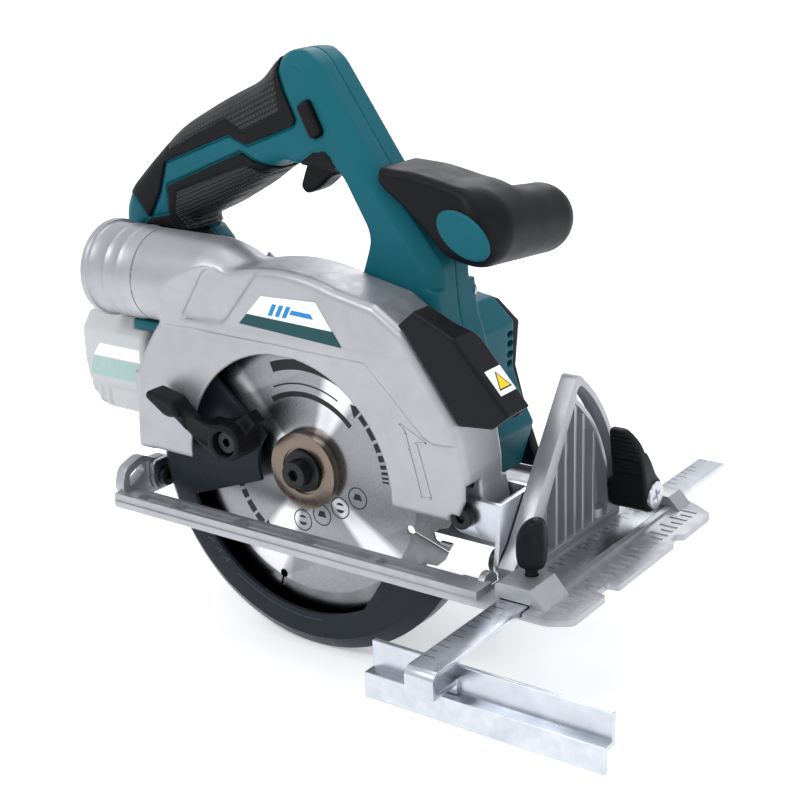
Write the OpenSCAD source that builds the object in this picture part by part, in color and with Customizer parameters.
// Compact cordless circular saw with a bevelling base and a sliding edge guide.
// X points forward along the cut, Y towards the motor and Z up. The origin is
// the middle of the sole of the base, which lies in the plane Z = 0.

/* [Blade] */
// Diameter of the blade
blade_d = 165; // [162:1:166]
// Thickness of the blade plate
blade_t = 1.2; // [1:0.1:1.4]
// Width of the carbide tips
kerf = 1.6; // [1.5:0.1:2]
// Number of teeth
teeth = 24; // [18:2:36]
// Middle plane of the blade along Y
blade_y = -40; // [-40.4:0.1:-39.8]

/* [Base] */
// Length of the base along X
base_l = 255; // [250:1:260]
// Width of the base along Y
base_w = 144; // [142:1:146]
// Thickness of the base plate
base_t = 3; // [2.5:0.1:3.2]
// Height of the edge rails
rail_h = 6.5; // [5:0.5:7]

/* [Motion] */
// Height of the bevel axis above the sole
bevel_z = 8; // [7.5:0.1:8.2]
// Steepest bevel that the quadrant slot allows, in degrees
bevel_max = 45; // [30:1:45]
// Largest lift of the head about the depth pivot, in degrees
depth_max = 31; // [20:1:31]

/* [Edge guide] */
// Width of the guide bar
bar_w = 13.4; // [12:0.1:13.8]
// Thickness of the guide bar
bar_t = 2.4; // [2:0.1:2.5]
// Length of the guide fence along X
fence_l = 109; // [80:1:112]

/* [Housing] */
// Wall of the moulded shells
wall = 3; // [2.4:0.1:3.2]
// Width of the main handle along Y
handle_w = 32; // [31:0.5:32]

/* [Hidden] */

$fn = 96;
hull_fn = 32;
eps = 0.02;
// Radial clearance of a running fit, and of a press fit within one body
run_fit = 0.05;
press = 0.02;
// Gap between faces that slide past each other
gap = 0.35;

teal = [0.10, 0.38, 0.43];
soft_black = [0.09, 0.09, 0.10];
dark_grey = [0.17, 0.18, 0.20];
cast_silver = [0.72, 0.73, 0.72];
zinc = [0.80, 0.81, 0.82];
steel = [0.62, 0.63, 0.64];
guard_grey = [0.20, 0.22, 0.26];

// Main axes, as [X, Z] for those along Y and [Y, Z] for those along X
arbor = [-28, 29];
motor = [-14, 56];
depth_pivot = [63.4, 28];
bevel_pivot = [-42, bevel_z];
blade_r = blade_d / 2;

// ---- Outlines ---------------------------------------------------------------

function unit(v) = v / norm(v);
function flat(p) = [p[0], p[1]];
function curve(a, b, c, n) =
    [for (k = [0:n]) let (s = k / n) (1 - s) * (1 - s) * a + 2 * s * (1 - s) * b + s * s * c];
// A corner given as [u, v, run] is rounded over that run on both of its sides,
// or over nearly half of a side that is too short for it
function soften(pts, n = 5) = let (m = len(pts)) [for (i = [0:m - 1])
    let (c = flat(pts[i]), p = flat(pts[(i + m - 1) % m]), q = flat(pts[(i + 1) % m]), run = pts[i][2])
    each (is_undef(run) ? [c] : let (a = min(run, 0.48 * norm(p - c)), b = min(run, 0.48 * norm(q - c)))
        curve(c + a * unit(p - c), c, c + b * unit(q - c), n))];
function arc(c, r, a0, a1, n = 16) =
    [for (k = [0:n]) let (a = a0 + (a1 - a0) * k / n) c + r * [cos(a), sin(a)]];
function polar(c, r, a) = c + r * [cos(a), sin(a)];
function ellipse(c, a, b, turn, n = 40) =
    [for (k = [0:n - 1]) let (t = 360 * k / n)
        c + [a * cos(t) * cos(turn) - b * sin(t) * sin(turn), a * cos(t) * sin(turn) + b * sin(t) * cos(turn)]];

// Solid on an XZ outline, between two places along Y
module along_y(y0, y1) {
    translate([0, y1, 0]) rotate([90, 0, 0]) linear_extrude(y1 - y0) children();
}
// Solid on a YZ outline, between two places along X
module along_x(x0, x1) {
    translate([x0, 0, 0]) rotate([90, 0, 90]) linear_extrude(x1 - x0) children();
}
module rod_y(c, r, y0, y1) { translate([c[0], y1, c[1]]) rotate([90, 0, 0]) cylinder(r = r, h = y1 - y0); }
module rod_x(c, r, x0, x1) { translate([x0, c[0], c[1]]) rotate([0, 90, 0]) cylinder(r = r, h = x1 - x0); }
module rod_z(c, r, z0, z1) { translate([c[0], c[1], z0]) cylinder(r = r, h = z1 - z0); }
module block(x, y, z) { translate([x[0], y[0], z[0]]) cube([x[1] - x[0], y[1] - y[0], z[1] - z[0]]); }
module ring_sector(c, r0, r1, a0, a1) { polygon(concat(arc(c, r1, a0, a1, 24), arc(c, r0, a1, a0, 24))); }
// Arc slot with round ends
module arc_slot(c, r, half, a0, a1) {
    first = min(a0, a1);
    last = max(a0, a1);
    cap = 165;
    polygon(concat(arc(c, r + half, first, last, 24), arc(polar(c, r, last), half, last + 15, last + cap, 10),
        arc(c, r - half, last, first, 24), arc(polar(c, r, first), half, first + 195, first + 180 + cap, 10)));
}
// Hexagon socket sunk into a screw head that faces -Y
module hex_y(c, across, y0, y1) {
    translate([c[0], y1, c[1]]) rotate([90, 0, 0]) cylinder(r = across / sqrt(3), h = y1 - y0, $fn = 6);
}

// ---- Base -------------------------------------------------------------------

base_x = base_l / 2;
base_y = base_w / 2;
opening_x = [-121.4, 81.5];
opening_y = [-60, -16];
gear_notch_x = [-64, 8];
gear_notch_y = -2;
guide_x = 99.4;
channel_w = bar_w + 1;
channel_floor = 1.2;
bar_z = channel_floor + 0.3;
base_outline = soften([[-base_x, -base_y, 5], [118, -base_y, 4], [base_x, -66, 3],
    [base_x, -39, 1], [122.5, -38, 1], [122.5, -28, 1], [base_x, -27, 1],
    [base_x, 25, 1], [124.5, 27, 1], [124.5, 33, 1], [base_x, 35, 1],
    [base_x, 63, 3], [114, base_y, 3], [-base_x, base_y, 8]]);
rail_pockets = [[-112, -92], [-88, -52], [-48, -14], [-10, 26], [30, 62]];
tick_pitch = 5;
rear_lug = soften([[-66, 3], [-69, 9, 3], [-66, 18, 3], [-54, 22, 4], [-46, 17, 4], [-36, 17, 4], [-33, 3]]);

module base_plate() {
    color(cast_silver) difference() {
        union() {
            linear_extrude(base_t) polygon(base_outline);
            // Near rail, with its recessed pockets
            difference() {
                block([-base_x + 2, 84], [-base_y + 1, -60], [base_t, rail_h]);
                for (p = rail_pockets) block(p, [-69, -62.5], [base_t + 0.6, rail_h + 1]);
            }
            // Far lip, rear rib and the long rib beside the opening
            block([-base_x + 3, 88], [66, 70.5], [base_t, 6]);
            block([-base_x + 1, -122.5], [-60, 70], [base_t, 6]);
            block([-110, 78], [8, 11], [base_t, 6]);
            for (x = [-90, -40, 12, 62]) block([x, x + 3], [11, 66], [base_t, 5]);
            // Lug that carries the rear bevel pivot, with its cast arm
            along_x(-127, -121.5) polygon(rear_lug);
            // Half-round sight fin at the front of the blade opening
            intersection() {
                along_x(78, 81.2) translate([-56, base_t]) circle(6);
                block([70, 90], [-64, -49], [base_t - 1, 12]);
            }
            block([70, 84], [-61, -59], [base_t, rail_h]);
            // Guide clamp boss and the far bridge, both over the bar's channel
            along_y(-66, -46) polygon([[90, base_t - eps], [90, 10], [92, 11], [107, 11], [114, base_t - eps]]);
            along_y(58, 70) polygon([[90, base_t - eps], [90, 9], [108, 9], [114, base_t - eps]]);
            // Raised front edge of the guide channel
            block([guide_x + channel_w / 2, guide_x + channel_w / 2 + 3], [-46, 58], [base_t, base_t + 1.2]);
            // Scale ticks along the front edge
            for (k = [-12:12]) block([k % 2 == 0 ? 113 : 116, 121.5],
                [k * tick_pitch - 0.5, k * tick_pitch + 0.5], [base_t, base_t + 0.5]);
        }
        block(opening_x, opening_y, [-1, base_t + 0.01]);
        block(gear_notch_x, [opening_y[1] - 1, gear_notch_y], [-1, 7]);
        // Guide channel, open through both sides of the base
        block([guide_x - channel_w / 2, guide_x + channel_w / 2], [-80, 80], [channel_floor, bar_z + bar_t + gap]);
        rod_z([guide_x, -52], 3 + run_fit, 3, 12);
        rod_x(bevel_pivot, 3 + press, -130, -120);
        for (y = quad_screw_y) {
            rod_z([quad_screw_x, y], 1.5 + press, -1, base_t + 1);
            rod_z([quad_screw_x, y], 3, -1, 1.8);
        }
        // Slot in the rear cast arm
        along_x(-130, -120) polygon(soften([[-64, 8, 2], [-64, 14, 2], [-55, 18, 2], [-53, 13, 2]]));
    }
}

// ---- Bevel quadrant ---------------------------------------------------------

quad_x = [81.5, 89.5];
quad_r = 86.7;
slot_r = 80.5;
bolt_r = 2.95;
slot_half = bolt_r + gap;
clamp_angle = 7;
clamp_at = polar(bevel_pivot, slot_r, clamp_angle);
quad_end = 57;
rib_at = [-12.5, -4.6, 3.6, 11.1, 20.8];
quad_foot_z = base_t;
quad_screw_x = 85.5;
quad_screw_y = [-24, 28];

module quadrant_web() {
    apex = polar(bevel_pivot, quad_r + 2, quad_end + 1);
    low = polar(bevel_pivot, 9, quad_end + 30);
    rim = arc(bevel_pivot, quad_r, quad_end - 4, -3, 24);
    intersection() {
        polygon(concat([[-50, quad_foot_z], [-50, 9], low], curve(apex + 5 * unit(low - apex), apex, rim[0], 5),
            [for (k = [1:len(rim) - 1]) rim[k]],
            [[44.7, quad_foot_z]]));
        translate([-60, quad_foot_z]) square([130, 100]);
    }
}

module bevel_quadrant() {
    color(cast_silver) difference() {
        union() {
            // Thin web behind, thick arc rim and radial edge in front
            along_x(quad_x[0], quad_x[0] + 2.6) quadrant_web();
            along_x(quad_x[0], quad_x[1]) intersection() {
                quadrant_web();
                union() {
                    ring_sector(bevel_pivot, slot_r - 5.6, quad_r + 1, -5, quad_end + 4);
                    polygon([[-50, 3], [-50, 12], [-44, 16], polar(bevel_pivot, quad_r + 2, quad_end + 2),
                        polar(bevel_pivot, quad_r + 2, quad_end - 2), [-34, 10], [-34, 3]]);
                    translate([-50, quad_foot_z]) square([96, 3]);
                }
            }
            for (y = rib_at) along_x(quad_x[0], quad_x[1] - 0.8) intersection() {
                quadrant_web();
                translate([y - 1.1, quad_foot_z]) square([2.2, 90]);
            }
            for (y = quad_screw_y) rod_z([quad_screw_x, y], 3.6, quad_foot_z, quad_foot_z + 7);
        }
        along_x(quad_x[0] - 1, quad_x[1] + 1) arc_slot(bevel_pivot, slot_r, slot_half, clamp_angle - 1, bevel_max + clamp_angle + 1);
        rod_x(bevel_pivot, 3 + press, 80, 92);
        for (y = quad_screw_y) rod_z([quad_screw_x, y], 1.5 + press, 2, quad_foot_z + 6);
    }
}

// Countersunk from the sole up into the quadrant
module quadrant_screws() {
    color(steel) for (y = quad_screw_y) difference() {
        union() {
            rod_z([quad_screw_x, y], 1.5, 1, quad_foot_z + 5.5);
            rod_z([quad_screw_x, y], 2.8, 0.3, 1.7);
        }
        translate([quad_screw_x, y, 0]) cylinder(r = 1.3, h = 1.2, $fn = 6);
    }
}

// Each bolt turns freely in its bracket and is fast in the base
module bevel_pivot_bolts() {
    color(soft_black) {
        difference() {
            union() {
                rod_x(bevel_pivot, 3, 76, 88.5);
                rod_x(bevel_pivot, 5.5, 75, 78.1);
            }
            translate([74.5, bevel_pivot[0], bevel_pivot[1]]) rotate([0, 90, 0]) cylinder(r = 2.3, h = 2, $fn = 6);
        }
        difference() {
            union() {
                rod_x(bevel_pivot, 3, -126.5, -117);
                rod_x(bevel_pivot, 5, -118.1, -115.9);
            }
            translate([-117.2, bevel_pivot[0], bevel_pivot[1]]) rotate([0, 90, 0]) cylinder(r = 2.3, h = 2, $fn = 6);
        }
    }
}

// ---- Brackets between the base and the head ---------------------------------

bracket_t = 2.5;
rear_plate_x = -121;
ear_near_y = -47.5;
ear_far_y = -21.5;
front_plate_x = 78.5;
guide_y = [-22, -19.5];
depth_r = 150;
depth_bolt = [-86.4, 36];
depth_angle = 177;
guide_end = depth_angle - depth_max - 3.2;

module rear_bevel_bracket() {
    color(zinc) difference() {
        union() {
            along_x(rear_plate_x, rear_plate_x + bracket_t)
                polygon(soften([[-50, 6, 3], [-50, 17, 3], [guide_y[1], 17, 1], [guide_y[1], 6, 1], [-36, 2, 4], [-48, 2, 4]]));
            block([rear_plate_x, -104], guide_y, [6, 17]);
        }
        rod_x(bevel_pivot, 3 + run_fit, -122, -117);
        for (x = [-114, -107]) rod_y([x, 11.5], 1.5, -23, -19);
    }
}

// Arc plate that the depth clamp slides along
module depth_guide() {
    tongue = [-116, -84];
    color(zinc) difference() {
        union() {
            along_y(guide_y[1], guide_y[1] + 2) {
                polygon([[tongue[0], 7], [tongue[0], 16], [-95.5, 26], [-80, 26], [-86, 14], [-100, 7]]);
                polygon(concat(arc(depth_pivot, depth_r + 8, depth_angle + 5, guide_end, 24),
                    arc(depth_pivot, depth_r - 8, guide_end, depth_angle + 5, 24)));
            }
        }
        along_y(guide_y[0] - 1, guide_y[1] + 3)
            arc_slot(depth_pivot, depth_r, slot_half, depth_angle + 1, depth_angle - depth_max - 1);
        for (x = [-114, -107]) rod_y([x, 11.5], 1.5, -23, -16);
    }
}

module ear(y0) {
    along_y(y0, y0 + bracket_t) difference() {
        polygon(concat([[front_plate_x + bracket_t, 19], [front_plate_x + bracket_t, 36]],
            arc(depth_pivot, 8.4, 90, 270, 16), [[72, 19]]));
        translate(depth_pivot) circle(3 + press);
    }
}

module front_bevel_bracket() {
    far = ear_far_y + bracket_t;
    color(zinc) difference() {
        union() {
            ear(ear_near_y);
            ear(ear_far_y);
            along_x(front_plate_x, front_plate_x + bracket_t) {
                polygon(concat([[ear_near_y, 36], [ear_near_y, 18]], arc(bevel_pivot, 7, 165, 300, 12),
                    [[-30, 12], [far, 18], [far, 36]]));
                // Arm behind the quadrant, out to the clamp bolt
                polygon(concat([[-30, 12], [-34, 28]], [[clamp_at[0] - 2, clamp_at[1] + 6.5]],
                    arc(clamp_at, 6.8, 80, -90, 12)));
            }
        }
        rod_x(bevel_pivot, 3 + run_fit, 77, 82);
        rod_x(clamp_at, bolt_r + press, 77, 82);
    }
}

module depth_pivot_screw() {
    color(soft_black) difference() {
        union() {
            rod_y(depth_pivot, 3, -48, -17);
            rod_y(depth_pivot, 5.2, -51.5, ear_near_y);
            rod_y(depth_pivot, 5, ear_far_y + bracket_t, -16);
        }
        hex_y(depth_pivot, 4, -52, -49);
    }
}

module bevel_clamp_bolt() {
    color(steel) {
        rod_x(clamp_at, bolt_r, 77, 106.5);
        rod_x(clamp_at, 6, 75.2, front_plate_x);
    }
}

lever_x = [90, 111];
lever_outline = soften([[24.4, 50.5, 1.5], [28.8, 51.6, 1.5], [34, 39, 3], [40.5, 27, 3], [46.8, 21.5, 4],
    [45.2, 12.5, 4], [38.5, 8.8, 4], [32, 10.8, 4], [29.6, 19, 4]]);

module bevel_lever() {
    color(soft_black) difference() {
        along_x(lever_x[0], lever_x[1]) polygon(lever_outline);
        rod_x(clamp_at, bolt_r + run_fit, 89, 108);
        rod_x(clamp_at, 6.6, 108, 112);
        // Finger recess behind the paddle
        along_x(93, 108.5) polygon(soften([[31, 47, 1], [36, 40, 1], [40, 32, 2], [37, 27.5, 2], [32, 33, 2]]));
    }
}

module bevel_lever_screw() {
    color(zinc) difference() {
        rod_x(clamp_at, 6.5, 108, 112);
        for (turn = [0, 90]) translate([112, clamp_at[0], clamp_at[1]]) rotate([turn + 20, 0, 0])
            cube([2.4, 6.5, 1], center = true);
    }
}

// ---- Blade guards -----------------------------------------------------------

guard_y = [-57, -24];
guard_wall = 3;
guard_r = 98;
cavity_r = 94;
guard_bottom = 27;
window_r = 58.5;
guard_front = [[24, 118], [40, 108], [66, 72], [69.5, 50], [69.5, 38], [66, 30]];
guard_outline = concat([[-121.5, guard_bottom]], arc(arbor, guard_r, 157.5, 72, 24), guard_front, [[60, guard_bottom]]);
cavity_outline = concat([[-118.6, guard_bottom - 40]], [[-118.6, 56]], arc(arbor, cavity_r, 161, 74, 24),
    [[22, 114.8], [38, 105.6], [62.8, 71], [65.8, 50], [65.8, 40], [56.4, 40], [56.4, guard_bottom - 40]]);
spout = [-40, 111.3];
spout_r = 22;
spout_bore = 19.5;
spout_x = -112;
hub_r = 32;

module upper_guard() {
    far_wall = guard_y[1] - guard_wall;
    color(cast_silver) difference() {
        union() {
            difference() {
                union() {
                    along_y(guard_y[0], guard_y[1]) polygon(guard_outline);
                    // Rear block of the guard, thicker on the motor side
                    along_y(guard_y[0] + 2, guard_y[1]) polygon([[-121.5, 27], [-121.5, 66], [-112, 66], [-112, 27]]);
                }
                along_y(guard_y[0] + guard_wall, far_wall) polygon(cavity_outline);
            }
            // Dust spout that leaves the top of the guard rearwards
            rod_x(spout, spout_r, spout_x, -84);
            hull() {
                rod_x(spout, spout_r, -86, -84);
                translate([0, guard_y[0] + 1.5, 0]) block([-60, -40], [0, 30], [100, 120]);
            }
            // Nose that the head pivots on, between the ears of the bracket
            along_y(ear_near_y + bracket_t + 0.5, ear_far_y - 1) difference() {
                polygon(concat([[56.4, 41]], arc(depth_pivot, 8.6, 215, 385, 16), [[69.5, 41]]));
                translate([40, 0]) square([16.4, 60]);
            }
            // Far wall carried down round the hub
            along_y(far_wall, guard_y[1]) intersection() {
                translate(arbor) circle(hub_r);
                translate([-80, -10]) square([100, 50]);
            }
        }
        rod_x(spout, spout_bore, spout_x - 1, -82);
        hull() {
            rod_x(spout, spout_bore, -83, -82);
            block([-70, -52], [guard_y[0] + 4.5, far_wall - 1], [100, 113]);
        }
        // Blade space under the spout
        along_y(guard_y[0] + guard_wall, far_wall) intersection() {
            translate(arbor) circle(cavity_r - 1);
            translate([-112, 60]) square([112, 80]);
        }
        rod_y(depth_pivot, 3 + run_fit, -60, -20);
        rod_y(arbor, 24, far_wall - 1, guard_y[1] + 1);
        // Window that shows the blade, open downwards, with a flat top
        along_y(guard_y[0] - 8, guard_y[0] + guard_wall + 1) intersection() {
            union() {
                translate(arbor) circle(window_r);
                translate([arbor[0] - window_r, 0]) square([2 * window_r, arbor[1]]);
            }
            translate([-100, 0]) square([200, 87]);
        }
        rod_y(depth_bolt, bolt_r + press, far_wall - 2, guard_y[1] + 1);
        // Space in front of the near ear
        along_y(guard_y[0] + guard_wall, ear_near_y + bracket_t + 0.5) polygon([[52, 20], [52, 45], [80, 45], [80, 20]]);
    }
}

module dust_nozzle() {
    color(cast_silver) translate([-144, spout[0], spout[1]]) rotate([0, 90, 0]) rotate_extrude() {
        polygon([[spout_bore, 0], [23, 0], [23.7, 0.7], [23.7, 4], [23, 4.7], [22, 4.7], [22, 14],
            [22.6, 14.5], [22.6, 16.5], [22, 17], [22, 22], [22.6, 22.5], [22.6, 24.5], [22, 25],
            [22, 32 - eps], [spout_bore, 32 - eps]]);
    }
}

module guard_label() {
    y = guard_y[0];
    color([0.92, 0.94, 0.93]) along_y(y - 0.4, y)
        polygon(soften([[-50.2, 100.1, 2], [-36.5, 114.5, 2], [-5.9, 115.7, 2], [7.3, 97.2, 2]]));
}

rim_r = [86, 88.5];
lower_y = [-48, -31];
lower_wall = 2;
guard_hub_r = 17;
lever_boss = [-57.4, 43.2];

// Ring part of the guard about the arbor, from its section as [radius, Y]
module guard_ring(section, a0, a1) {
    translate([arbor[0], 0, arbor[1]]) rotate([90, 0, 0]) rotate([0, 0, a0])
        rotate_extrude(angle = a1 - a0) polygon([for (p = section) [p[0], -p[1]]]);
}

module lower_guard() {
    far = lower_y[1] - lower_wall;
    near = lower_y[0] + 0.1;
    shoulder = lower_y[0] + 5;
    color(guard_grey) difference() {
        union() {
            // Near lip, chamfered shoulder and rim in one section
            guard_ring([[70, lower_y[0] + lower_wall], [70, lower_y[0]], [82, lower_y[0]], [rim_r[1], shoulder],
                [rim_r[1], lower_y[1]], [rim_r[0], lower_y[1]], [rim_r[0], shoulder + 0.8],
                [81, lower_y[0] + lower_wall]], 140, 328);
            // Far wall with its hub
            along_y(far, lower_y[1] - 0.1) {
                polygon(concat([arbor], arc(arbor, rim_r[0] + 1, 141, 327, 32)));
                translate(arbor) circle(23);
            }
            // Near wall at the rear, and the taller lip at the front end
            along_y(near, near + lower_wall) {
                ring_sector(arbor, 24, 78, 141, 200);
                polygon(concat(arc(arbor, 78, 290, 327, 12), [polar(arbor, 62, 322), polar(arbor, 66, 308)]));
            }
            // Boss under the lever
            rod_y(lever_boss, 7, lower_y[0] - 1.5, near + 1);
        }
        rod_y(arbor, guard_hub_r + run_fit, far - 1, lower_y[1] + 1);
        rod_y(lever_boss, 2.6, -52, -44);
    }
}

module guard_lever() {
    top_y = lower_y[0] - 1.5;
    outer_y = guard_y[0] - 1.2;
    color(soft_black) difference() {
        union() {
            rod_y(lever_boss, 9, -65, top_y);
            // Arm: deep beside the boss, shallow where it passes over the upper guard
            along_y(-65, top_y - 2) polygon([[-52.4, 50.6], [-72, 50.8], [-72, 40.4], [-61.5, 35.2]]);
            along_y(-65, outer_y) polygon([[-70, 50], [-84.5, 56], [-88.5, 51], [-78, 43.2], [-70, 39.2]]);
            // Finger pad
            along_y(-70, outer_y) polygon(soften([[-80, 53, 2], [-84, 60.5, 3], [-99.5, 63.5, 2], [-101, 60, 2], [-88.5, 52, 3]]));
            along_y(-58, top_y) polygon(soften([[-58, 51], [-49, 57.5, 2], [-44, 53, 2], [-50, 46]]));
        }
        rod_y(lever_boss, 2.8, -67, -44);
        rod_y(lever_boss, 6.2, -66, -59);
    }
}

module guard_lever_screw() {
    color(soft_black) difference() {
        union() {
            rod_y(lever_boss, 2.5, -60, -46.2);
            rod_y(lever_boss, 5, -63, -59 - eps);
        }
        hex_y(lever_boss, 4, -64, -60.5);
    }
}

module guard_spring() {
    color(steel) for (y = [-30, -28.6]) translate([arbor[0], y, arbor[1]]) rotate([90, 0, 0])
        rotate_extrude() translate([19, 0]) circle(0.6);
}

// ---- Arbor, gears and motor -------------------------------------------------

spindle_r = 6;
tail_r = 4;
bore_r = 10;
flange_r = 18.5;
plate_y = [blade_y - blade_t / 2, blade_y + blade_t / 2];
bolt_shank_r = 4;
gear_y = [-22, -13];
gear_teeth = 44;
pinion_teeth = 9;
gear_r = 25.2;
pinion_r = 4.8;
shaft_r = 4;

module gear_outline(r, n, depth) {
    step = 360 / n;
    polygon([for (k = [0:n - 1]) for (t = [[0, r - depth], [0.2, r], [0.5, r], [0.7, r - depth]])
        polar([0, 0], t[1], (k + t[0]) * step)]);
}

module spindle() {
    color(steel) difference() {
        union() {
            rod_y(arbor, spindle_r, plate_y[1], -11.5);
            rod_y(arbor, tail_r, -12, -4.5);
        }
        rod_y(arbor, bolt_shank_r, plate_y[1] - 1, -22);
    }
}

module inner_flange() {
    color(steel) difference() {
        union() {
            rod_y(arbor, flange_r, plate_y[1], -34.4);
            rod_y(arbor, bore_r - press, plate_y[0], plate_y[1]);
        }
        rod_y(arbor, spindle_r + press, plate_y[1] - eps, -34);
        rod_y(arbor, bolt_shank_r + press, -42, plate_y[1]);
    }
}

slot_angle = 342.7;
slot_hole_r = 60.4;

module blade() {
    pitch = 360 / teeth;
    tip = blade_r - 0.4;
    // Radius and share of the pitch of each point, from one tooth face to the next
    tooth = [[tip, 0], [blade_r - 6.2, -0.07], [blade_r - 9, -0.04], [blade_r - 10.6, 0.1],
        [blade_r - 8.5, 0.26], [blade_r - 4, 0.38], [blade_r - 1.6, 0.62]];
    color(steel) along_y(plate_y[0], plate_y[1]) difference() {
        polygon([for (k = [0:teeth - 1]) for (p = tooth) polar(arbor, p[0], (k + p[1]) * pitch)]);
        translate(arbor) circle(bore_r);
        for (k = [0:3]) translate(arbor) rotate(slot_angle + 90 * k) {
            translate([slot_hole_r, 0]) circle(2.1);
            translate([slot_hole_r, -0.5]) square([blade_r - slot_hole_r, 1]);
        }
    }
}

// Carbide tips brazed to the tooth faces
module blade_tips() {
    pitch = 360 / teeth;
    lean = 1.05;
    width = 1.1;
    joint = 0.08;
    color([0.45, 0.45, 0.46]) along_y(blade_y - kerf / 2, blade_y + kerf / 2) for (k = [0:teeth - 1])
        polygon([polar(arbor, blade_r, k * pitch + joint), polar(arbor, blade_r - 0.3, k * pitch + width),
            polar(arbor, blade_r - 6, k * pitch - lean + width), polar(arbor, blade_r - 6, k * pitch - lean + joint)]);
}

module outer_flange() {
    y = plate_y[0];
    color([0.60, 0.52, 0.42]) difference() {
        rod_y(arbor, flange_r, y - 4.25, y);
        rod_y(arbor, 11.3, y - 5, y - 3.2);
        rod_y(arbor, bolt_shank_r + press, y - 5, y + 1);
        rod_y(arbor, 14, y - 0.4, y + 1);
    }
}

module blade_bolt() {
    y = plate_y[0] - 3.2;
    color(soft_black) difference() {
        union() {
            rod_y(arbor, bolt_shank_r - press, y, -24);
            rod_y(arbor, 10.2, y - 1.8, y);
            rod_y(arbor, 6.5, y - 8, y - 1.8 + eps);
        }
        hex_y(arbor, 5, y - 9, y - 4);
    }
}

module output_gear() {
    color(steel) along_y(gear_y[0], gear_y[1]) difference() {
        translate(arbor) gear_outline(gear_r, gear_teeth, 1.8);
        translate(arbor) circle(spindle_r + press);
    }
}

module bearing(c, bore, outer, y0, y1) {
    inner_race = bore + (outer - bore) * 0.3;
    outer_race = bore + (outer - bore) * 0.7;
    difference() {
        rod_y(c, outer, y0, y1);
        rod_y(c, bore, y0 - 1, y1 + 1);
        for (y = [y0 - 1, y1 - 0.6]) translate([c[0], y + 1.6, c[1]]) rotate([90, 0, 0]) difference() {
            cylinder(r = outer_race, h = 1.6);
            translate([0, 0, -1]) cylinder(r = inner_race, h = 4);
        }
    }
}

module arbor_bearings() {
    color(steel) {
        bearing(arbor, spindle_r + run_fit, 14, -33.5, -25.5);
        bearing(arbor, tail_r + run_fit, 11, -11, -4);
    }
}

module motor_bearings() {
    color(steel) {
        bearing(motor, shaft_r + run_fit, 11, -4, 3);
        bearing(motor, shaft_r + run_fit, 11, 51, 58);
    }
}

case_r = 27.8;
case_top_r = 30;
case_y = [-24, -4];

module case_outline(shrink) {
    translate(arbor) circle(case_r - shrink);
    translate(motor) circle(case_top_r - shrink);
    polygon([polar(arbor, case_r - shrink, 152), polar(motor, case_top_r - shrink, 152),
        polar(motor, case_top_r - shrink, -28), polar(arbor, case_r - shrink, -28)]);
}

lock_at = [-9, 45];

module gear_case() {
    color(cast_silver) difference() {
        union() {
            along_y(case_y[0], case_y[1]) case_outline(0);
            rod_y(arbor, guard_hub_r, -34, case_y[0]);
            rod_x(lock_at, 4.6, -58, -48);
            for (a = [60, 150, 240]) rod_y(polar(motor, case_top_r, a), 4, case_y[0], case_y[0] + 8);
        }
        along_y(case_y[0] + 2, case_y[1] + 1) case_outline(2);
        rod_y(arbor, 14 + press, -33.5, -20);
        rod_y(arbor, 8, -35, -33);
        rod_x(lock_at, 2.4 + run_fit, -60, -40);
    }
    // Rear bearing seat, on a bridge across the open face
    color(cast_silver) difference() {
        union() {
            rod_y(arbor, 13, -10.5, case_y[1]);
            block([arbor[0] - 25.7, arbor[0] + 25.7], [-6.5, case_y[1]], [arbor[1] - 4, arbor[1] + 4]);
        }
        rod_y(arbor, 11 + press, -12, 0);
    }
}

housing_y = [-4, 56];
cap_y = 62;
housing_outline = soften([[-52, 24, 5], [-56, 40, 5], [-56, 78, 6], [-44, 94, 6], [-5, 98, 8], [14, 95, 5],
    [26, 84, 5], [25.5, 60, 5], [30, 48, 5], [37, 35, 6], [30, 12, 4], [16, 10, 4], [-40, 12, 8]], 4);
cap_outline = soften([[-50, 26, 5], [-54, 78, 6], [-43, 92, 6], [-5, 96, 8], [14, 93, 5], [26, 83, 5],
    [24, 60, 6], [30, 39, 6], [38, 17, 3], [38, 9, 2], [16, 9, 2], [-40, 12, 8]], 4);
vent_x = [20, 40];

module motor_housing() {
    color(teal) difference() {
        along_y(housing_y[0], housing_y[1]) polygon(housing_outline);
        along_y(housing_y[0] + wall + 4, housing_y[1] + 1) offset(delta = -wall) polygon(housing_outline);
        along_y(housing_y[0] + wall, housing_y[0] + wall + 4.5) translate(motor) circle(24);
        rod_y(motor, 11 + press, -5, 8);
        rod_y(arbor, 11, -5, -3);
        // Air vents near the end cap
        for (z = [62, 67, 72, 77]) block(vent_x, [49, 54], [z, z + 2.6]);
        for (x = [-44, -36, -28, -20]) block([x, x + 3.5], [47, 54], [5, 30]);
    }
    // Seat of the front motor bearing
    color(teal) difference() {
        rod_y(motor, 13.5, housing_y[0] + wall - 0.5, 3);
        rod_y(motor, 11 + press, -5, 8);
    }
}

module motor_end_cap() {
    color(dark_grey) difference() {
        union() {
            difference() {
                along_y(housing_y[1], cap_y) polygon(cap_outline);
                along_y(housing_y[1] - 1, cap_y - 2.5) offset(delta = -wall) polygon(cap_outline);
            }
            rod_y(motor, 14, 51, cap_y - 2);
        }
        rod_y(motor, 11 + press, 50, 58);
        for (a = [0:30:330]) translate([motor[0], 0, motor[1]]) rotate([0, a, 0])
            block([18, 27], [cap_y - 4, cap_y + 1], [-1.5, 1.5]);
        for (z = [30, 36]) block([10, 40], [57, 59], [z, z + 3]);
    }
}

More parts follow.
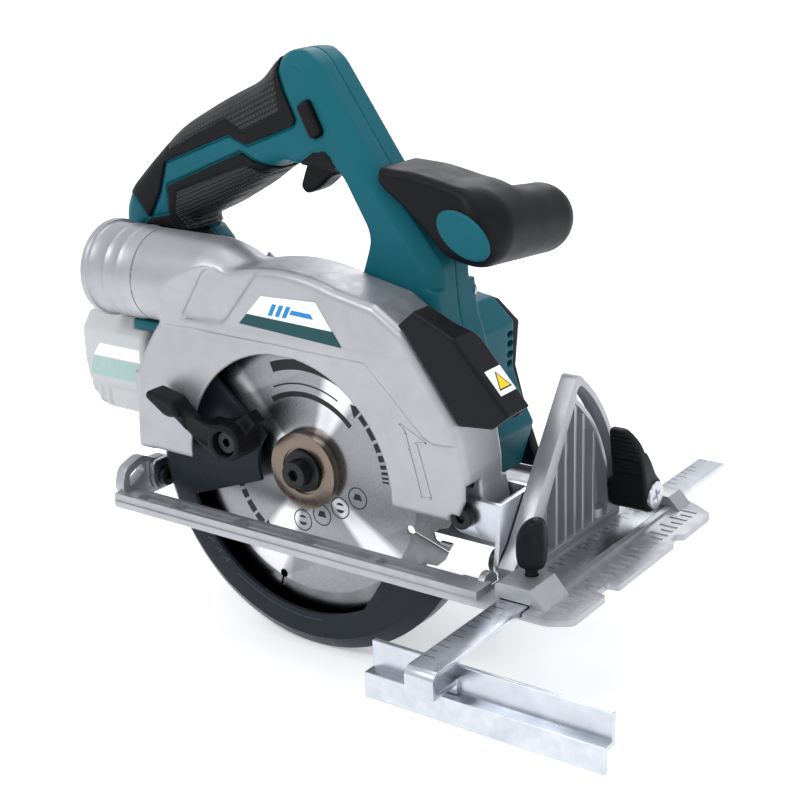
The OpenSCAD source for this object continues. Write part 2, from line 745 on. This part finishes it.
module stator() {
    color([0.45, 0.30, 0.20]) difference() {
        rod_y(motor, 29, 8, 38);
        rod_y(motor, 17, 7, 39);
        for (a = [30:60:330]) translate([motor[0], 0, motor[1]]) rotate([0, a, 0])
            block([16, 24], [7, 39], [-2.2, 2.2]);
    }
}

module motor_rotor() {
    color(steel) {
        rod_y(motor, shaft_r, -11.5, 57);
        along_y(gear_y[0], -11.5) translate(motor) gear_outline(pinion_r, pinion_teeth, 1.4);
        difference() {
            rod_y(motor, 15, 9, 37);
            rod_y(motor, shaft_r - eps, 8, 38);
        }
    }
}

module cooling_fan() {
    color(dark_grey) difference() {
        union() {
            rod_y(motor, 26, 46.5, 48);
            rod_y(motor, 9, 41, 48);
            for (a = [0:30:330]) translate([motor[0], 0, motor[1]]) rotate([0, a, 0])
                block([8, 25], [42, 47], [-0.8, 0.8]);
        }
        rod_y(motor, shaft_r + press, 40, 50);
    }
}

module control_board() {
    color([0.10, 0.35, 0.16]) {
        block([-33, 14], [10, 40], [17, 19]);
        for (x = [-30, -18, -6]) block([x, x + 8], [14, 24], [19, 22]);
    }
}

// ---- Handle -----------------------------------------------------------------

handle_y = [-8 - handle_w / 2, -8 + handle_w / 2];
handle_mid = -8;
rear_relief_y = -15.6;
handle_outline = soften([[-150, 87.2, 3], [-154, 100, 5], [-156, 125, 6], [-155, 138, 5], [-150, 148, 5],
    [-134, 163, 9], [-114, 180, 9], [-87, 194, 10], [-64, 204, 6], [-54, 214, 4], [-46, 219, 4], [-36, 219.5, 4],
    [-28, 214, 4], [4, 168, 8], [36, 130, 4], [38, 105, 6], [44, 86, 6], [50, 60, 4], [29, 57, 3], [28.7, 85, 3],
    [15.5, 98.4, 5], [-5, 101, 8], [-46, 97, 5], [-59, 84, 2], [-94, 84, 2], [-99, 87.2, 2]], 4);
loop_outline = soften([[-97, 101, 5], [-99.5, 122, 5], [-110, 132.5, 3], [-91, 141, 4], [-71, 152, 5], [-58, 161, 4],
    [-48, 166, 4], [-20, 165, 2.5], [-15, 162.8, 2.5], [-0.6, 138.3, 6], [-6, 122, 6], [-12, 108, 6], [-60, 103, 4]], 4);
shell_cavity = [[-146, 142], [-131, 158], [-112, 175], [-86, 189], [-62, 199], [-52, 209], [-38, 214], [-30, 210],
    [-2, 170], [30, 131], [32, 106], [38, 88], [42, 68], [33, 66], [33, 88], [20, 101], [0, 112], [2, 122],
    [6, 138], [-10, 165], [-20, 170], [-50, 171], [-62, 166], [-74, 157], [-94, 146], [-112, 137], [-140, 134]];
trigger_pivot = [-28, 173.2];
trigger_outline = soften([[-21, 176, 1.5], [-20.5, 168, 2], [-20, 163.2, 2], [-28.5, 160.5, 3], [-36, 154, 4],
    [-43, 151.5, 2], [-46, 155, 2], [-43, 163, 3], [-37, 175, 3], [-31, 176.6, 2]]);
trigger_y = [-15, -1];
button_ends = [[-32.1, 192.3], [-27.7, 183.9]];
button_r = 3.3;

module button_outline(r) {
    run = button_ends[1] - button_ends[0];
    translate(button_ends[0]) rotate(atan2(run[1], run[0])) {
        translate([0, -r]) square([norm(run), 2 * r]);
        circle(r);
        translate([norm(run), 0]) circle(r);
    }
}

// Handle outline drawn in from its edges
module crowned(inset) {
    difference() {
        offset(delta = -inset) polygon(handle_outline);
        offset(delta = inset / 2) polygon(loop_outline);
    }
}

// One shell: its outer wall on one side, and open at the middle plane. The
// outer layers are drawn in, so the handle is thickest along its middle plane.
module handle_body(y0, y1, floor_y) {
    near = floor_y < handle_mid;
    inner = near ? [floor_y, y1 + 1] : [y0 - 1, floor_y];
    slot = near ? [trigger_y[0] - 0.6, y1 + 1] : [y0 - 1, trigger_y[1] + 0.6];
    step = 3.2;
    difference() {
        for (k = [0:2]) {
            from = near ? y0 + k * step : y0;
            to = near ? y1 : y1 - k * step;
            along_y(from, to) crowned(crown[k]);
        }
        along_y(y0 - 1, y1 + 1) button_outline(button_r + gap);
        along_y(inner[0], inner[1]) polygon(shell_cavity);
        along_y(slot[0], slot[1]) polygon([[-51, 147], [-51, 173], [-22, 173], [-13, 160], [-26, 147]]);
    }
}

module handle_shell_right() {
    color(teal) difference() {
        handle_body(handle_y[0], handle_mid, handle_y[0] + wall);
        // Relief behind the dust spout and along the path of the depth guide
        block([-160, -46], [handle_y[0] - 1, rear_relief_y], [80, 136]);
        for (p = screw_spots) rod_y(p, 1.8, handle_mid - 6, handle_mid + 1);
    }
}

screw_spots = [[-145, 95], [-149, 140], [-105, 93], [22, 135], [33, 112]];

module handle_shell_left() {
    color(teal) difference() {
        handle_body(handle_mid, handle_y[1], handle_y[1] - wall);
        for (p = screw_spots) {
            rod_y(p, 1.8, handle_mid - 1, handle_y[1]);
            rod_y(p, 3.6, handle_y[1] - 3, handle_y[1] + 1);
        }
    }
}

module housing_screws() {
    color(steel) for (p = screw_spots) difference() {
        union() {
            rod_y(p, 1.75, handle_mid - 5, handle_y[1] - 2.5);
            rod_y(p, 3.2, handle_y[1] - 3, handle_y[1] - 1);
        }
        translate([p[0], handle_y[1], p[1]]) rotate([90, 0, 0]) cylinder(r = 1.6, h = 2, $fn = 6);
    }
}

skin = 1.2;
// How far each layer of a shell is drawn in, from its outer face to its core
crown = [7, 4, 1.8];
upper_patch = [[-37.5, 222], [-44.6, 199.6], [-38.4, 187.3], [-40, 184], [-68.6, 173.2], [-79.4, 177.1], [-119.9, 161.3],
    [-124.8, 146.1], [-133, 132.2], [-141, 142], [-156, 150], [-120, 190], [-60, 216]];
lower_patch = [[-72.5, 170.5], [-54.8, 163.1], [-47.3, 161.5], [-60, 154], [-75.9, 145.8], [-93.4, 138.3],
    [-114, 133], [-122, 136], [-120.4, 150.5]];

module grip_patches() {
    polygon(upper_patch);
    polygon(lower_patch);
}

module grip_overmould() {
    color(soft_black) difference() {
        along_y(handle_y[0] - skin, handle_y[1] + skin) intersection() {
            crowned(crown[0]);
            grip_patches();
        }
        along_y(handle_y[0], handle_y[1]) crowned(crown[0] - 1);
        along_y(trigger_y[0] - 0.6, trigger_y[1] + 0.6) polygon([[-62, 148], [-62, 176], [-12, 176], [-10, 148]]);
        along_y(handle_y[0] - 3, handle_y[1] + 3) button_outline(button_r + gap);
    }
}

grip_end = [51, 146];
grip_end_r = 17.2;
cap_plane = -29;

module front_grip() {
    color(soft_black) difference() {
        union() {
            hull() for (y = [-14, 34]) translate([grip_end[0], y, grip_end[1]]) sphere(grip_end_r, $fn = hull_fn);
            hull() {
                translate([44, -7, 149]) rotate([90, 0, 0]) cylinder(r = 15, h = 30, center = true, $fn = hull_fn);
                block([6, 9], [handle_y[0] + 1, handle_y[1] - 2], [159, 169.5]);
            }
        }
        along_y(handle_y[0] - 10, handle_y[1] + 14) offset(delta = 0.2) polygon(handle_outline);
        block([20, 90], [-40, cap_plane], [110, 180]);
    }
}

module front_grip_cap() {
    color(teal) along_y(cap_plane - 2, cap_plane) polygon(ellipse([53, 146], 14.5, 8.6, -30));
}

module trigger() {
    color(soft_black) difference() {
        along_y(trigger_y[0], trigger_y[1]) polygon(trigger_outline);
        rod_y(trigger_pivot, 2 + run_fit, -30, 10);
    }
}

module switch_body() {
    color(dark_grey) {
        translate([9.4, handle_mid, 146.7]) rotate([0, 50.6, 0]) cube([18, 13, 8], center = true);
        // Pin that the trigger swings on
        rod_y(trigger_pivot, 2, handle_y[0] + wall, handle_y[1] - wall);
    }
}

module lock_off_button() {
    color(soft_black) difference() {
        along_y(handle_y[0] - 3, handle_y[1] + 3) button_outline(button_r);
        block([-50, -10], [handle_mid - 4, handle_mid + 4], [170, 184]);
    }
}

module spindle_lock() {
    color(soft_black) {
        rod_x(lock_at, 2.4, -62, -49.5);
        rod_x(lock_at, 5, -67, -62);
    }
}

// ---- Light, plates and labels -----------------------------------------------

light_outline = soften([[37.6, 111.6, 2], [46, 119, 4], [66, 110, 5], [92, 81, 3], [84, 74, 3], [67.4, 72.4, 1],
    [41, 108.8, 1]], 3);
light_axis = [73, 88.5];
light_tilt = 138;
light_y = -45.5;

module light_bore(r, from, to) {
    translate([light_axis[0], light_y, light_axis[1]]) rotate([0, light_tilt, 0])
        translate([0, 0, from]) cylinder(r = r, h = to - from);
}

module light_cover() {
    color(soft_black) difference() {
        along_y(-58, -33) polygon(light_outline);
        light_bore(6, -11, 30);
        along_y(-54.5, -36) polygon([[47, 107], [50, 113], [62, 106], [70, 90], [64, 82]]);
    }
}

module light_module() {
    color(dark_grey) light_bore(5.7, -10.5, 12);
}

module light_lens() {
    color([0.85, 0.9, 0.92]) light_bore(5.7, 12, 14.5);
}

module warning_sticker() {
    nx = 0.745;
    nz = 0.667;
    color([0.93, 0.93, 0.90]) translate([82, -48, 92.15]) translate([nx * 0.35, 0, nz * 0.35])
        rotate([0, 48.1, 0]) cube([12.1, 11.4, 0.5], center = true);
}

module nameplate() {
    color([0.80, 0.81, 0.80]) along_y(14, 44) polygon([[-36, 94.85], [-12, 97.31], [-12.1, 98.1], [-36.1, 95.65]]);
}

// ---- Battery ----------------------------------------------------------------

mount_y = [-42, 26];
pack_y = [-44, 28];
pack_z = [37, 81.6];
hump_z = 86.2;
hump_x = -133.5;
pack_x = [-168, -98];
guard_clear_x = -124.5;
front_block_y = -16;

module battery_mount() {
    color(teal) difference() {
        union() {
            block([-132, -114], mount_y, [82, 87]);
            block([-114 - eps, -100], [front_block_y, mount_y[1]], [82, 87]);
        }
        block([-128, -104], [-12, 20], [81, 84.5]);
    }
}

module battery_terminals() {
    color(dark_grey) block([-126, -108], [-10, 18], [82.2, 84.4]);
}

module battery_pack() {
    color([0.72, 0.80, 0.76]) difference() {
        union() {
            along_x(pack_x[0], guard_clear_x) polygon(soften([[pack_y[0], pack_z[0], 6], [pack_y[0], hump_z - 8, 5],
                [pack_y[0] + 6, hump_z, 2], [pack_y[1] - 6, hump_z, 2], [pack_y[1], hump_z - 8, 5],
                [pack_y[1], pack_z[0], 6]]));
            block([guard_clear_x - eps, pack_x[1]], [front_block_y, pack_y[1] - 2], [pack_z[0] + 2, pack_z[1]]);
        }
        block([hump_x, 0], [-50, 50], [pack_z[1], 90]);
        block([pack_x[0] - 1, -163], [-21, 5], [66, 76]);
    }
}

module battery_latch() {
    color([0.55, 0.60, 0.58]) block([-169, -166.5], [-20, 4], [67, 75]);
}

// ---- Clamps and edge guide --------------------------------------------------

module depth_clamp_bolt() {
    color(steel) {
        rod_y(depth_bolt, bolt_r, -28, -9.5);
        rod_y(depth_bolt, 5, -29.6, -27);
    }
}

module depth_lever() {
    y = [-17, -9];
    color(soft_black) difference() {
        union() {
            rod_y(depth_bolt, 8, y[0], y[1] + 1);
            along_y(y[0] + 1, y[1]) polygon(soften([[-94.4, 36], [-92, 66, 4], [-82, 66, 4], [-78.4, 36]]));
        }
        rod_y(depth_bolt, bolt_r + run_fit, y[0] - 1, y[1] + 3);
    }
}

screw_at = [guide_x, -52];
leaf_turn = 20;

// Clamp screw with a flat leaf for finger and thumb
module guide_screw() {
    leaf_t = 9;
    leaf = soften([[-5, 14, 3], [-6.5, 19, 4], [-6.5, 30, 6], [-1, 36.5, 4], [5.5, 36.5, 4], [6.8, 27, 5], [6.2, 16, 3], [4, 14, 2]]);
    color(soft_black) {
        rod_z(screw_at, 3, bar_z + bar_t + 0.2, 15);
        translate([screw_at[0], screw_at[1], 0]) rotate([0, 0, leaf_turn]) along_y(-leaf_t / 2, leaf_t / 2) polygon(leaf);
    }
}

bar_end = [-132, 125];
fence_y = [-117.4, -115];
fence_x = [64, 64 + fence_l];
fence_top = -0.6;
fence_h = 14;
bend_r = 4;

module guide_bar() {
    z0 = bar_z;
    z1 = bar_z + bar_t;
    inner = bend_r - bar_t;
    c = [bar_end[0], z1 - bend_r];
    color(zinc) {
        along_x(guide_x - bar_w / 2, guide_x + bar_w / 2) {
            polygon([[bar_end[0], z0], [bar_end[0], z1], [bar_end[1] - 2, z1], [bar_end[1], z1 - 0.6], [bar_end[1], z0]]);
            // Near end folded down and back to the fence
            polygon(concat(arc(c, bend_r, 90, 180, 8), [c + [-bend_r, -5]], [c + [-inner, -5]], arc(c, inner, 180, 90, 8)));
            polygon([c + [-bend_r, -5], c + [-bend_r, -5 - bar_t], [fence_y[0] - 2.4 - eps, c[1] - 5 - bar_t],
                [fence_y[0] - 2.4 - eps, c[1] - 5]]);
            polygon([[fence_y[0] - 2.4, c[1] - 5], [fence_y[0] - 2.4, c[1] - 5 - bar_t - 4.4], [fence_y[0], c[1] - 5 - bar_t - 4.4],
                [fence_y[0], c[1] - 5]]);
        }
    }
}

module guide_fence() {
    y0 = fence_y[0];
    y1 = fence_y[1];
    shelf = 6;
    t = y1 - y0;
    foot = fence_top - fence_h;
    color(zinc) along_x(fence_x[0], fence_x[1]) polygon([[y1, fence_top], [y1, foot], [y0 - shelf + t, foot],
        [y0 - shelf + t, foot - 9], [y0 - shelf, foot - 9], [y0 - shelf, foot + t], [y0, foot + t], [y0, fence_top]]);
}

base_plate();
bevel_quadrant();
quadrant_screws();
bevel_pivot_bolts();
rear_bevel_bracket();
depth_guide();
front_bevel_bracket();
depth_pivot_screw();
bevel_clamp_bolt();
bevel_lever();
bevel_lever_screw();
upper_guard();
dust_nozzle();
gear_case();
motor_housing();
motor_end_cap();
stator();
motor_bearings();
arbor_bearings();
handle_shell_right();
handle_shell_left();
grip_overmould();
front_grip();
front_grip_cap();
light_cover();
light_module();
light_lens();
guard_label();
warning_sticker();
nameplate();
housing_screws();
battery_mount();
battery_terminals();
control_board();
switch_body();
guard_spring();
depth_clamp_bolt();
spindle();
inner_flange();
blade();
blade_tips();
outer_flange();
blade_bolt();
output_gear();
motor_rotor();
cooling_fan();
lower_guard();
guard_lever();
guard_lever_screw();
trigger();
lock_off_button();
spindle_lock();
battery_pack();
battery_latch();
depth_lever();
guide_screw();
guide_bar();
guide_fence();
